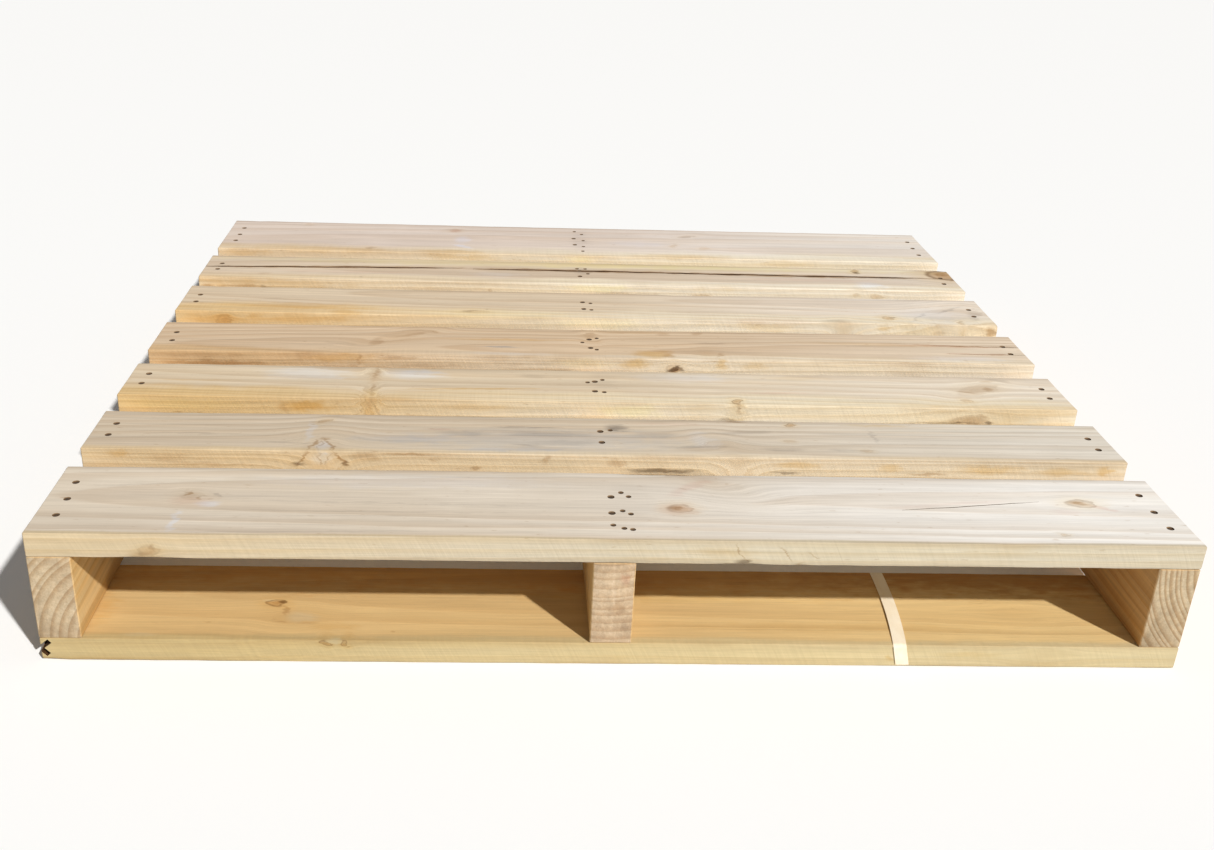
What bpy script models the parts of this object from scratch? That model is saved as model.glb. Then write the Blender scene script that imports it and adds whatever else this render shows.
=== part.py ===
"""Two-way stringer pallet: seven top boards and three bottom boards nailed to three stringers.

Metres. +X runs along the boards, +Y along the stringers from the front to the rear, +Z up.
The pallet stands on Z = 0, centred on the origin.
"""

import math
import random

import bmesh
import bpy

# Overall sizes
BOARD_LENGTH = 1.100
STRINGER_LENGTH = 1.000

# Stringers
STRINGER_WIDTH = 0.040
STRINGER_HEIGHT = 0.089
CENTRE_STRINGER_SHIFT = -0.009

# Top deck, front board first
TOP_THICKNESS = 0.025
TOP_WIDTHS = (0.134, 0.092, 0.093, 0.097, 0.100, 0.097, 0.146)
# How far each top board sits behind its evenly spaced place
TOP_SHIFTS = (0.0, 0.0, 0.003, 0.005, 0.006, 0.004, 0.0)

# Bottom deck, front board first
BOTTOM_THICKNESS = 0.024
BOTTOM_WIDTHS = (0.134, 0.134, 0.134)
BOTTOM_SHIFTS = (0.0, 0.0, 0.0)

# Sawn edges and the gap between pieces that touch
EDGE_ROUND = 0.0014
EDGE_SEGMENTS = 2
SHARP_ANGLE = math.radians(35)
TOUCH_GAP = 0.0003

# Nails
NAIL_LENGTH = 0.063
NAIL_SHANK_RADIUS = 0.0014
NAIL_HEAD_RADIUS = 0.0031
NAIL_HEAD_THICKNESS = 0.0011
NAIL_RIM = 0.0003
NAIL_POINT_LENGTH = 0.0045
NAIL_SINK = 0.0008
NAIL_SIDES = 10
LEAD_NAIL_PITCH = 0.033
INNER_NAIL_PITCH = 0.027
NAIL_SCATTER = 0.0015
NAIL_SEED = 12
LEAD_END_NAILS = 3
LEAD_CENTRE_NAILS = 2
INNER_NAILS = 2

# Plastic strap round the front bottom board
STRAP_WIDTH = 0.013
STRAP_THICKNESS = 0.0007
STRAP_PLACE = 0.827
STRAP_RECESS_DEPTH = 0.0014
STRAP_SIDE_GAP = 0.0010
STRAP_CORNER_STEPS = 4

# Colours: linear RGB, roughness, metallic
TOP_WOOD = ((0.66, 0.58, 0.45), 0.72, 0.0)
BOTTOM_WOOD = ((0.62, 0.44, 0.21), 0.74, 0.0)
STRINGER_WOOD = ((0.55, 0.38, 0.22), 0.76, 0.0)
NAIL_STEEL = ((0.10, 0.09, 0.08), 0.45, 0.9)
STRAP_PLASTIC = ((0.83, 0.81, 0.76), 0.40, 0.0)

# Heights of the three layers
STRINGER_BASE = BOTTOM_THICKNESS + TOUCH_GAP
STRINGER_TOP = STRINGER_BASE + STRINGER_HEIGHT
DECK_BASE = STRINGER_TOP + TOUCH_GAP
DECK_TOP = DECK_BASE + TOP_THICKNESS

LEFT_END = -BOARD_LENGTH / 2
FRONT_END = -STRINGER_LENGTH / 2


def clear_scene():
    for obj in list(bpy.data.objects):
        bpy.data.objects.remove(obj, do_unlink=True)


def material(name, finish):
    colour, roughness, metallic = finish
    made = bpy.data.materials.new(name)
    made.use_nodes = True
    made.diffuse_color = (*colour, 1.0)
    shader = made.node_tree.nodes["Principled BSDF"]
    shader.inputs["Base Color"].default_value = (*colour, 1.0)
    shader.inputs["Roughness"].default_value = roughness
    shader.inputs["Metallic"].default_value = metallic
    return made


def new_object(name, bm, place, parent=None):
    """An object made from a bmesh, placed by its location."""
    bmesh.ops.recalc_face_normals(bm, faces=bm.faces)
    mesh = bpy.data.meshes.new(name)
    bm.to_mesh(mesh)
    bm.free()
    obj = bpy.data.objects.new(name, mesh)
    bpy.context.scene.collection.objects.link(obj)
    obj.location = place
    obj.parent = parent
    return obj


def finished(obj, finish):
    """Gives an object its own material, and smooth shading with its edges kept."""
    obj.data.materials.append(material(obj.name + "_finish", finish))
    obj.data.shade_smooth()
    obj.data.set_sharp_from_angle(angle=SHARP_ANGLE)
    return obj


def timber(name, size, place, finish, parent):
    """A sawn length of wood, centred on its place, with its edges rounded."""
    bm = bmesh.new()
    bmesh.ops.create_cube(bm, size=1.0)
    bmesh.ops.scale(bm, vec=size, verts=bm.verts)
    bmesh.ops.bevel(
        bm,
        geom=list(bm.edges),
        offset=EDGE_ROUND,
        segments=EDGE_SEGMENTS,
        profile=0.5,
        affect="EDGES",
    )
    return finished(new_object(name, bm, place, parent), finish)


def spaced(widths, shifts, start, length):
    """The front edge of each board, with equal gaps between boards of these widths."""
    gap = (length - sum(widths)) / (len(widths) - 1)
    edges = []
    edge = start
    for width, shift in zip(widths, shifts):
        edges.append(edge + shift)
        edge += width + gap
    return edges


def stringer_centres():
    """The X of the left, centre and right stringers' middles."""
    outer = BOARD_LENGTH / 2 - STRINGER_WIDTH / 2
    return {"left": -outer, "centre": CENTRE_STRINGER_SHIFT, "right": outer}


def turned(bm, profile, x, y):
    """Adds a closed turned solid to a bmesh: profile is (radius, height) from its top centre to its point."""
    rings = []
    for radius, height in profile:
        if radius == 0.0:
            rings.append([bm.verts.new((x, y, height))])
            continue
        ring = []
        for step in range(NAIL_SIDES):
            angle = 2 * math.pi * step / NAIL_SIDES
            place = (x + radius * math.cos(angle), y + radius * math.sin(angle), height)
            ring.append(bm.verts.new(place))
        rings.append(ring)
    for upper, lower in zip(rings, rings[1:]):
        for step in range(NAIL_SIDES):
            after = (step + 1) % NAIL_SIDES
            if len(upper) == 1:
                bm.faces.new((upper[0], lower[step], lower[after]))
            elif len(lower) == 1:
                bm.faces.new((upper[step], lower[0], upper[after]))
            else:
                bm.faces.new((upper[step], lower[step], lower[after], upper[after]))


def nail_profile():
    """A flat-headed nail, from the middle of its head's top at height 0 down to its point."""
    return [
        (0.0, 0.0),
        (NAIL_HEAD_RADIUS - NAIL_RIM, 0.0),
        (NAIL_HEAD_RADIUS, -NAIL_RIM),
        (NAIL_HEAD_RADIUS, -NAIL_HEAD_THICKNESS),
        (NAIL_SHANK_RADIUS, -NAIL_HEAD_THICKNESS - NAIL_RIM),
        (NAIL_SHANK_RADIUS, NAIL_POINT_LENGTH - NAIL_LENGTH),
        (0.0, -NAIL_LENGTH),
    ]


def hole_profile():
    """The hole for a nail: its outline with the touch gap all round, open above the head."""
    seat = -NAIL_HEAD_THICKNESS - NAIL_RIM - TOUCH_GAP
    wide = NAIL_HEAD_RADIUS + TOUCH_GAP
    narrow = NAIL_SHANK_RADIUS + TOUCH_GAP
    point_gap = TOUCH_GAP * math.hypot(1, NAIL_POINT_LENGTH / NAIL_SHANK_RADIUS)
    return [
        (0.0, NAIL_SINK + TOP_THICKNESS),
        (wide, NAIL_SINK + TOP_THICKNESS),
        (wide, seat),
        (narrow, seat),
        (narrow, NAIL_POINT_LENGTH - NAIL_LENGTH),
        (0.0, -NAIL_LENGTH - point_gap),
    ]


def nail_row(count, pitch, middle):
    """The Y of each nail in a row across one board."""
    first = middle - pitch * (count - 1) / 2
    return [first + pitch * step for step in range(count)]


def top_nails(board, width, is_lead):
    """(stringer, number, X, Y) of the nails through one top board."""
    scatter = random.Random(NAIL_SEED + board)
    middle = TOP_EDGES[board] + width / 2
    pitch = LEAD_NAIL_PITCH if is_lead else INNER_NAIL_PITCH
    nails = []
    for stringer, centre in STRINGERS.items():
        count = INNER_NAILS
        if is_lead:
            count = LEAD_CENTRE_NAILS if stringer == "centre" else LEAD_END_NAILS
        for number, y in enumerate(nail_row(count, pitch, middle), start=1):
            x = centre + scatter.uniform(-NAIL_SCATTER, NAIL_SCATTER)
            nails.append((stringer, number, x, y + scatter.uniform(-NAIL_SCATTER, NAIL_SCATTER)))
    return nails


def hide_guide(obj):
    obj.hide_render = True
    obj.display_type = "WIRE"
    return obj


def cut(target, cutter):
    """Cuts the cutter's shape out of the target."""
    boolean = target.modifiers.new("cut_" + cutter.name, "BOOLEAN")
    boolean.operation = "DIFFERENCE"
    boolean.solver = "EXACT"
    boolean.object = cutter


def drill(target, nails, name):
    """Drills the target for these nails, whose heads sit in the top deck."""
    bm = bmesh.new()
    for _, _, x, y in nails:
        turned(bm, hole_profile(), x, y)
    cut(target, hide_guide(new_object(name, bm, (0, 0, DECK_TOP - NAIL_SINK))))


def make_nail(name, x, y, parent):
    bm = bmesh.new()
    turned(bm, nail_profile(), 0.0, 0.0)
    return finished(new_object(name, bm, (x, y, DECK_TOP - NAIL_SINK), parent), NAIL_STEEL)


def loop_corner(centre_y, centre_z, radius, quarter):
    """Points round one corner of the strap, quarter 0 being the rear top corner."""
    points = []
    for step in range(STRAP_CORNER_STEPS + 1):
        angle = math.pi / 2 * (quarter + step / STRAP_CORNER_STEPS)
        points.append((centre_y + radius * math.cos(angle), centre_z + radius * math.sin(angle)))
    return points


def strap_outline(offset):
    """The strap's line in the YZ plane round the board, this far outside its touch gap."""
    front = FRONT_END
    rear = FRONT_END + BOTTOM_WIDTHS[0]
    upper = BOTTOM_THICKNESS - EDGE_ROUND
    reach = TOUCH_GAP + offset
    corners = (
        (rear - EDGE_ROUND, upper, EDGE_ROUND + reach),
        (front + EDGE_ROUND, upper, EDGE_ROUND + reach),
        (front, STRAP_RECESS_DEPTH, reach),
        (rear, STRAP_RECESS_DEPTH, reach),
    )
    points = []
    for quarter, (y, z, radius) in enumerate(corners):
        points += loop_corner(y, z, radius, quarter)
    return points


def make_strap(parent):
    """A flat band round the front bottom board, one closed ring."""
    bm = bmesh.new()
    inner = strap_outline(0.0)
    outer = strap_outline(STRAP_THICKNESS)
    rings = []
    for side in (-STRAP_WIDTH / 2, STRAP_WIDTH / 2):
        for outline in (inner, outer):
            rings.append([bm.verts.new((side, y, z)) for y, z in outline])
    inner_left, outer_left, inner_right, outer_right = rings
    for one, other in (
        (inner_left, outer_left),
        (outer_left, outer_right),
        (outer_right, inner_right),
        (inner_right, inner_left),
    ):
        for step in range(len(one)):
            after = (step + 1) % len(one)
            bm.faces.new((one[step], one[after], other[after], other[step]))
    place = (LEFT_END + STRAP_PLACE, 0.0, 0.0)
    return finished(new_object("strap", bm, place, parent), STRAP_PLASTIC)


def strap_recess(board):
    """Lets the strap's lower run into the board, so that the pallet still stands on its boards."""
    width = STRAP_WIDTH + 2 * STRAP_SIDE_GAP
    depth = BOTTOM_WIDTHS[0] + 2 * STRAP_WIDTH
    bm = bmesh.new()
    bmesh.ops.create_cube(bm, size=1.0)
    bmesh.ops.scale(bm, vec=(width, depth, 2 * STRAP_RECESS_DEPTH), verts=bm.verts)
    place = (LEFT_END + STRAP_PLACE, FRONT_END + BOTTOM_WIDTHS[0] / 2, 0.0)
    cut(board, hide_guide(new_object("guide_strap_recess", bm, place)))


def make_stringers(parent):
    size = (STRINGER_WIDTH, STRINGER_LENGTH, STRINGER_HEIGHT)
    height = STRINGER_BASE + STRINGER_HEIGHT / 2
    made = {}
    for name, x in STRINGERS.items():
        made[name] = timber("stringer_" + name, size, (x, 0.0, height), STRINGER_WOOD, parent)
    return made


def make_top_deck(parent, stringers):
    """The top boards with their nails, and the nail holes in the boards and the stringers."""
    every_nail = []
    last = len(TOP_WIDTHS) - 1
    for board, width in enumerate(TOP_WIDTHS):
        label = f"{board + 1}"
        size = (BOARD_LENGTH, width, TOP_THICKNESS)
        place = (0.0, TOP_EDGES[board] + width / 2, DECK_BASE + TOP_THICKNESS / 2)
        plank = timber("top_board_" + label, size, place, TOP_WOOD, parent)
        nails = top_nails(board, width, board in (0, last))
        drill(plank, nails, "guide_holes_board_" + label)
        for stringer, number, x, y in nails:
            make_nail(f"nail_{label}_{stringer}_{number}", x, y, parent)
        every_nail += nails
    for name, stringer in stringers.items():
        drill(stringer, [nail for nail in every_nail if nail[0] == name], "guide_holes_stringer_" + name)


def make_bottom_deck(parent):
    names = ("front", "middle", "rear")
    for name, edge, width in zip(names, BOTTOM_EDGES, BOTTOM_WIDTHS):
        size = (BOARD_LENGTH, width, BOTTOM_THICKNESS)
        place = (0.0, edge + width / 2, BOTTOM_THICKNESS / 2)
        plank = timber("bottom_board_" + name, size, place, BOTTOM_WOOD, parent)
        if name == "front":
            strap_recess(plank)
            make_strap(parent)


STRINGERS = stringer_centres()
TOP_EDGES = spaced(TOP_WIDTHS, TOP_SHIFTS, FRONT_END, STRINGER_LENGTH)
BOTTOM_EDGES = spaced(BOTTOM_WIDTHS, BOTTOM_SHIFTS, FRONT_END, STRINGER_LENGTH)


def main():
    clear_scene()
    pallet = bpy.data.objects.new("pallet", None)
    bpy.context.scene.collection.objects.link(pallet)
    stringers = make_stringers(pallet)
    make_top_deck(pallet, stringers)
    make_bottom_deck(pallet)


main()
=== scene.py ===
"""The looks of a two-way timber pallet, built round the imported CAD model.

Every board and stringer is a sawn length of pine whose growth rings, knots and splits run through it.
"""

import math
import random

import bmesh
import bpy
from mathutils import Matrix, Vector, noise


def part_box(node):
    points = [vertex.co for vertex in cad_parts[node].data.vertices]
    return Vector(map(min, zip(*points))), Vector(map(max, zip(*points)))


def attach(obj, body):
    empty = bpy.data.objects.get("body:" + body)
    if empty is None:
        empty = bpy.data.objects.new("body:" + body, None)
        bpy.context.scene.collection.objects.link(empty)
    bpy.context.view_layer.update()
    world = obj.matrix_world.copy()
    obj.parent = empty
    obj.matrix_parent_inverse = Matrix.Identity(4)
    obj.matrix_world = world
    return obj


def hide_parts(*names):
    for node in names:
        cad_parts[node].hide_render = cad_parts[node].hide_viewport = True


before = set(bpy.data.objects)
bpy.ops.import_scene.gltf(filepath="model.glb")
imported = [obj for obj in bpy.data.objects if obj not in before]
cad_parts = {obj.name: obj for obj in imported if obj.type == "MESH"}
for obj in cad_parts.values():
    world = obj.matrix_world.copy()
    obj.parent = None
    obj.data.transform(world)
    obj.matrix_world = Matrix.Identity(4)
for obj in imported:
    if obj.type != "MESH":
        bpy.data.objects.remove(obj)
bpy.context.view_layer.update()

# Sizes are in metres and angles in degrees, where a name or a comment doesn't say otherwise.

# Camera. The lens and the sensor are in millimetres.
CAMERA_PLACE = (-0.1135, -1.529, 0.740)
CAMERA_TURN = 2.68
CAMERA_TILT = 25.2
CAMERA_ROLL = 2.04
CAMERA_LENS = 38.2
CAMERA_SENSOR = 36.0
CAMERA_SHIFT = (0.039, 0.0)

# Light
KEY_FROM = Vector((0.456, -0.603, 0.654))
KEY_ANGLE = math.radians(2)
KEY_STRENGTH = 4.1
KEY_COLOUR = (1.0, 0.985, 0.96)
WORLD_COLOUR = (0.95, 0.97, 1.0)
WORLD_STRENGTH = 0.19
FLOOR_SIZE = 40.0
FLOOR_DROP = 0.0005
FLOOR_COLOUR = (0.95, 0.95, 0.945, 1.0)
FLOOR_ROUGHNESS = 0.9

# Plank meshes. The waves are per metre.
STATION_PITCH = 0.012
ROUND_PITCH = 0.009
CORNER_STEPS = 3
ARRIS_RADIUS = 0.0005
WEAR_WAVES = 7.0
NICK_WAVES = 38.0
WANE_WAVES = 70.0
SAWN_ROUGHNESS = 0.00018
SAWN_ALONG = 40
SAWN_ACROSS = 160
CROOK_WAVES = 1.6
BOW_WAVES = 2.3
BOW_SHARE = 0.6
END_ROUND = 0.0009
EDGE_FADE = 0.006
SHARP_ANGLE = math.radians(38)

# Splits and the broken notch. SPLIT_WANDERS holds (reach, waves per metre), and cutters start above the wood.
SPLIT_PITCH = 0.006
SPLIT_LEAST = 0.0002
SPLIT_ABOVE = 0.004
SPLIT_WANDERS = ((0.0022, 14.0), (0.0008, 60.0))
SPLIT_RAGS = 25.0
NOTCH_ABOVE = 0.004
NOTCH_DEPTH = 0.014
NOTCH_REACH = 0.56

# Nails
HEAD_RADIUS = 0.0031
HEAD_THICKNESS = 0.0011
HEAD_SINK = 0.0008
HEAD_SIDES = 14
HEAD_DOME = 0.00008
HEAD_RIM_SHARE = 0.3
HEAD_CROWN_SHARE = 0.35
DENT_RADIUS = 0.0037
DENT_FLOOR = 0.0033
DENT_DEPTH = 0.0016
DENT_ABOVE = 0.002
DENT_FLARE = 1.15
BRAD_SCALE = 0.78
BOTTOM_NAIL_PITCH = 0.038
BOTTOM_NAIL_SCATTER_X = 0.004
BOTTOM_NAIL_SCATTER_Y = 0.003

# Strap
STRAP_THICKNESS = 0.0007
STRAP_BEND = 0.0034
STRAP_LIFT = 0.0012
STRAP_CROWN = 0.00012
STRAP_LEAN = 0.0105
STRAP_CURL = 2.2
STRAP_NIP = 0.0045
STRAP_DROP_LEAN = 0.0060
STRAP_EMBOSS_PITCH = 0.0024
STRAP_TOP_STEPS = 22
STRAP_BEND_STEPS = 6
STRAP_WIDTH_STEPS = 4


def tone(red, green, blue):
    """A linear colour from the everyday 0 to 255 scale."""
    made = []
    for value in (red, green, blue):
        value /= 255
        made.append(value / 12.92 if value <= 0.04045 else ((value + 0.055) / 1.055) ** 2.4)
    return tuple(made)


# ---- Shader nodes


class Nodes:
    """Adds nodes to one shader tree and links them."""

    def __init__(self, tree):
        self.tree = tree

    def add(self, kind, inputs=None, **settings):
        made = self.tree.nodes.new(kind)
        for name, value in settings.items():
            setattr(made, name, value)
        for key, value in (inputs or {}).items():
            self.feed(made.inputs[key], value)
        return made

    def feed(self, socket, value):
        if isinstance(value, bpy.types.NodeSocket):
            self.tree.links.new(value, socket)
        elif socket.type == "RGBA" and len(value) == 3:
            socket.default_value = (*value, 1.0)
        else:
            socket.default_value = value

    def math(self, operation, *values):
        return self.add("ShaderNodeMath", dict(enumerate(values)), operation=operation).outputs[0]

    def plus(self, first, second):
        return self.math("ADD", first, second)

    def times(self, first, second):
        return self.math("MULTIPLY", first, second)

    def scaled(self, value, factor, offset):
        return self.math("MULTIPLY_ADD", value, factor, offset)

    def vector(self, operation, first, second=(0, 0, 0)):
        made = self.add("ShaderNodeVectorMath", {0: first}, operation=operation)
        if operation == "SCALE":
            self.feed(made.inputs["Scale"], second)
        elif operation != "LENGTH":
            self.feed(made.inputs[1], second)
        return made.outputs["Value" if operation == "LENGTH" else "Vector"]

    def ramp(self, value, low, high, start=0.0, end=1.0):
        """Start below low, end above high, and a smooth change between them."""
        inputs = {"Value": value, "From Min": low, "From Max": high, "To Min": start, "To Max": end}
        made = self.add("ShaderNodeMapRange", inputs, interpolation_type="SMOOTHSTEP")
        return made.outputs["Result"]

    def mix(self, factor, first, second, blend="MIX"):
        made = self.add("ShaderNodeMix", data_type="RGBA", blend_type=blend)
        self.feed(made.inputs[0], factor)
        self.feed(made.inputs[6], first)
        self.feed(made.inputs[7], second)
        return made.outputs[2]

    def tinted(self, colour, factor, tint):
        return self.mix(factor, colour, tint, "MULTIPLY")

    def texture(self, vector, stretch, detail, roughness=0.5):
        inputs = {"Vector": self.vector("MULTIPLY", vector, stretch), "Scale": 1.0}
        return self.add("ShaderNodeTexNoise", inputs | {"Detail": detail, "Roughness": roughness}).outputs

    def noise(self, vector, stretch, detail=2.0, roughness=0.5):
        """Noise of 0 to 1 whose grains are 1 / stretch metres long each way."""
        return self.texture(vector, stretch, detail, roughness)["Fac"]

    def split(self, vector):
        return self.add("ShaderNodeSeparateXYZ", {0: vector}).outputs

    def join(self, x, y, z):
        return self.add("ShaderNodeCombineXYZ", {0: x, 1: y, 2: z}).outputs[0]

    def surface(self, shader, colour, roughness, height, strength, distance):
        """Gives a shader its colour, its roughness and bumps of this height times distance."""
        bump = self.add("ShaderNodeBump", {"Strength": strength, "Distance": distance, "Height": height})
        self.feed(shader.inputs["Base Color"], colour)
        self.feed(shader.inputs["Roughness"], roughness)
        self.feed(shader.inputs["Normal"], bump.outputs[0])


def new_material(name):
    made = bpy.data.materials.new(name)
    made.use_nodes = True
    nodes = Nodes(made.node_tree)
    return made, nodes, made.node_tree.nodes["Principled BSDF"]


# ---- Wood

# What each tint does to the wood's red, green and blue where a mark or a knot has its full strength.
OCHRE = (0.88, 0.71, 0.42)
YELLOW = (1.05, 1.06, 0.90)
BROWN = (0.60, 0.47, 0.34)
DARK = (0.26, 0.21, 0.17)
GREY = (0.63, 0.63, 0.65)
BLUE = (0.80, 0.90, 1.10)
ROSE = (0.92, 0.80, 0.78)
PALE = (1.0, 1.12, 1.38)
BRIGHT = (1.10, 1.12, 1.15)
# The next two tints are painted shade: the first darkens the rear of the front bottom board where the deck
# shades it, the second darkens its right part further.
UNDER_DECK_SHADE = (0.92, 0.75, 0.56)
DEEPER_SHADE_RIGHT = (0.74, 0.64, 0.54)
KNOT_BODY = (0.72, 0.57, 0.42)
KNOT_RIM = (0.40, 0.32, 0.26)
KNOT_HALO = (0.95, 0.86, 0.70)
LATE_TOP = (0.80, 0.72, 0.64)
LATE_SIDE = (0.86, 0.77, 0.63)
LATE_END = (0.72, 0.62, 0.51)
WARM_BAND = (1.0, 0.965, 0.88)
GREY_BAND = (0.93, 0.93, 0.94)
# Edges are darkened partly as wear and partly as painted shade that dims the bright line of the lit arris.
EDGE_WEAR_AND_SHADE = (0.80, 0.74, 0.68)

# Grains per metre along, across and through the wood
FIBRES = (16.0, 800.0, 800.0)
STREAKS = (2.6, 150.0, 150.0)
BANDS = (1.5, 30.0, 30.0)
PATCHES = (6.0, 18.0, 18.0)
SPECKS = (70.0, 330.0, 330.0)
PORES = (240.0, 420.0, 420.0)
SAW_MARKS = (330.0, 9.0, 150.0)
TORN_EDGES = (45.0, 130.0, 130.0)
RING_WAVES = (1.8, 11.0, 11.0)
TORN_FIBRES = (60.0, 900.0, 900.0)
RUST = (450.0, 450.0, 450.0)
CLOUDS = (60.0, 25.0, 60.0)

# How far a mark's edge is torn, how deep a knot's pull on the grain is and how fast it fades
TORN_REACH = (0.022, 0.008, 0.008)
KNOT_PULL = -0.85
KNOT_FADE = -0.30
KNOT_RINGS = 21.0

# Where a board's faces turn paler, from its left end, and how much of the side's tone a strip of its top has.
# The paling is partly the wood's own colour and partly painted light.
PALING_FROM = 0.05
PALING_TO = 0.75
STRIP_STRENGTH = 0.9
SAW_ON_TOP = 0.15


def blob(nodes, vector, place, radii, turn):
    """How far each point is from a place: 1 on the ellipsoid of these radii and turn."""
    inputs = {"Vector": vector, "Location": place, "Rotation": turn, "Scale": radii}
    placed = nodes.add("ShaderNodeMapping", inputs, vector_type="TEXTURE").outputs[0]
    return nodes.vector("LENGTH", placed)


def bend_round_knots(nodes, vector, torn, knots):
    """The grain's coordinates, flowing round each knot, and each knot's own distance and strength."""
    distances = []
    bent = vector
    for place, radii, turn, strength in knots:
        distance = blob(nodes, torn, place, radii, turn)
        fading = nodes.math("EXPONENT", nodes.times(nodes.times(distance, distance), KNOT_FADE))
        away = nodes.vector("MULTIPLY", nodes.vector("SUBTRACT", vector, place), (0.0, 1.0, 1.0))
        bent = nodes.vector("ADD", bent, nodes.vector("SCALE", away, nodes.times(fading, KNOT_PULL)))
        distances.append((distance, strength))
    return bent, distances


def growth_rings(nodes, vector, look):
    """The late wood of each ring, 0 to 1, in a log whose pith runs beside the board."""
    wander = nodes.texture(vector, RING_WAVES, 2.0)["Color"]
    shift = nodes.vector("SUBTRACT", wander, (0.5, 0.5, 0.5))
    shift = nodes.vector("MULTIPLY", shift, (0.0, look["wander"], look["wander"]))
    x, y, z = nodes.split(nodes.vector("ADD", vector, shift))
    (pith_y, pith_z), (lean_y, lean_z) = look["pith"], look["lean"]
    across = nodes.plus(y, nodes.scaled(x, -lean_y, -pith_y))
    upward = nodes.plus(z, nodes.scaled(x, -lean_z, -pith_z))
    radius = nodes.vector("LENGTH", nodes.join(0.0, across, upward))
    inputs = {"W": radius, "Scale": 0.3 / look["ring"]}
    uneven = nodes.add("ShaderNodeTexNoise", inputs, noise_dimensions="1D").outputs[0]
    phase = nodes.scaled(uneven, 2.2, nodes.math("DIVIDE", radius, look["ring"]))
    part = nodes.math("FRACT", phase)
    return nodes.times(nodes.ramp(part, 0.2, 0.88), nodes.ramp(part, 0.90, 1.0, 1.0, 0.0))


def torn_place(nodes, local):
    """The wood's coordinates, torn so that marks get ragged edges, and a noise that tears distances too."""
    torn = nodes.texture(local, TORN_EDGES, 3.0, 0.6)
    shift = nodes.vector("SUBTRACT", torn["Color"], (0.5, 0.5, 0.5))
    place = nodes.vector("ADD", local, nodes.vector("MULTIPLY", shift, TORN_REACH))
    return place, nodes.scaled(torn["Fac"], 1.1, -0.55)


class Grain:
    """The patterns of one length of wood, each a socket of 0 to 1, and where they are looked up."""

    def __init__(self, nodes, look, local, bent):
        self.along, self.across, _ = nodes.split(local)
        placed = nodes.vector("ADD", bent, (look["seed"] * 3.7, look["seed"] * 1.3, 0.0))
        self.rings = growth_rings(nodes, bent, look)
        self.fibre = nodes.noise(placed, FIBRES, 2.0, 0.6)
        self.streak = nodes.noise(placed, STREAKS, 3.0, 0.6)
        self.band = nodes.noise(placed, BANDS, 3.0)
        self.patch = nodes.noise(placed, PATCHES, 4.0, 0.6)
        self.speck = nodes.noise(placed, SPECKS)
        self.pores = nodes.noise(local, PORES, 3.0, 0.7)
        x, y, z = nodes.split(nodes.vector("MULTIPLY", local, SAW_MARKS))
        self.saw = nodes.noise(nodes.join(nodes.plus(x, z), y, 0.0), (1.0, 1.0, 1.0))


def weathered_part(nodes, look, grain, upward, half_width):
    """1 on the top and 0 elsewhere. A strip along the front edge keeps most of the side's tone."""
    top = nodes.ramp(upward, 0.45, 0.85)
    strip = look["strip"]
    if not strip:
        return top
    ragged = nodes.scaled(nodes.math("SUBTRACT", grain.patch, 0.5), 2.2 * strip, grain.across)
    near_front = nodes.ramp(ragged, 0.45 * strip - half_width, 1.35 * strip - half_width, STRIP_STRENGTH, 0.0)
    return nodes.times(top, nodes.math("SUBTRACT", 1.0, near_front))


def side_tones(nodes, look, grain, half_length):
    """The warmer sides, which turn paler to the right, partly as painted light."""
    paling = nodes.ramp(grain.along, PALING_FROM - half_length, PALING_TO - half_length)
    left, right = look["side"]
    colour = nodes.mix(paling, tone(*left), tone(*right))
    colour = nodes.tinted(colour, nodes.ramp(grain.band, 0.35, 0.65), WARM_BAND)
    colour = nodes.tinted(colour, nodes.times(grain.rings, look["side_rings"]), LATE_SIDE)
    return nodes.tinted(colour, nodes.ramp(grain.patch, 0.54, 0.72, 0.0, look["mottle"]), look["mottle_tint"])


def top_tones(nodes, look, grain, half_length):
    """The weathered top, which turns brighter to the right, partly as painted light."""
    rightward = nodes.ramp(grain.along, look["fade_from"] - half_length, half_length)
    left, right = look["top"]
    colour = nodes.mix(rightward, tone(*left), tone(*right))
    colour = nodes.tinted(colour, nodes.ramp(grain.band, 0.32, 0.68), GREY_BAND)
    colour = nodes.tinted(colour, nodes.ramp(grain.patch, 0.48, 0.72, 0.0, 0.6), BRIGHT)
    return nodes.tinted(colour, nodes.times(grain.rings, look["top_rings"]), LATE_TOP)


def end_tones(nodes, look, grain):
    """The sawn ends, with the rings as arcs and with open pores."""
    colour = nodes.tinted(tone(*look["end"]), nodes.times(grain.rings, look["end_rings"]), LATE_END)
    colour = nodes.tinted(colour, nodes.ramp(grain.pores, 0.35, 0.7, 0.0, 0.4), LATE_END)
    return nodes.tinted(colour, nodes.ramp(grain.patch, 0.4, 0.65, 0.0, 0.6), GREY_BAND)


def marked(nodes, colour, marks, torn, wobble):
    for place, radii, turn, tint, strength in marks:
        distance = nodes.plus(blob(nodes, torn, place, radii, turn), wobble)
        colour = nodes.tinted(colour, nodes.ramp(distance, 0.25, 1.1, strength, 0.0), tint)
    return colour


def knotted(nodes, colour, distances, wobble):
    """Each knot's warm halo, its ringed heart and its dark ragged rim."""
    for distance, strength in distances:
        ragged = nodes.plus(distance, wobble)
        rings = nodes.ramp(nodes.math("SINE", nodes.times(ragged, KNOT_RINGS)), -1.0, 1.0, 0.75, 1.0)
        colour = nodes.tinted(colour, nodes.ramp(ragged, 0.6, 2.8, 0.8 * strength, 0.0), KNOT_HALO)
        body = nodes.times(nodes.ramp(ragged, 0.15, 1.25, strength, 0.0), rings)
        colour = nodes.tinted(colour, body, KNOT_BODY)
        rim = nodes.math("ABSOLUTE", nodes.math("SUBTRACT", ragged, 0.9))
        colour = nodes.tinted(colour, nodes.ramp(rim, 0.0, 0.3, 0.9 * strength * strength, 0.0), KNOT_RIM)
    return colour


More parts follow.
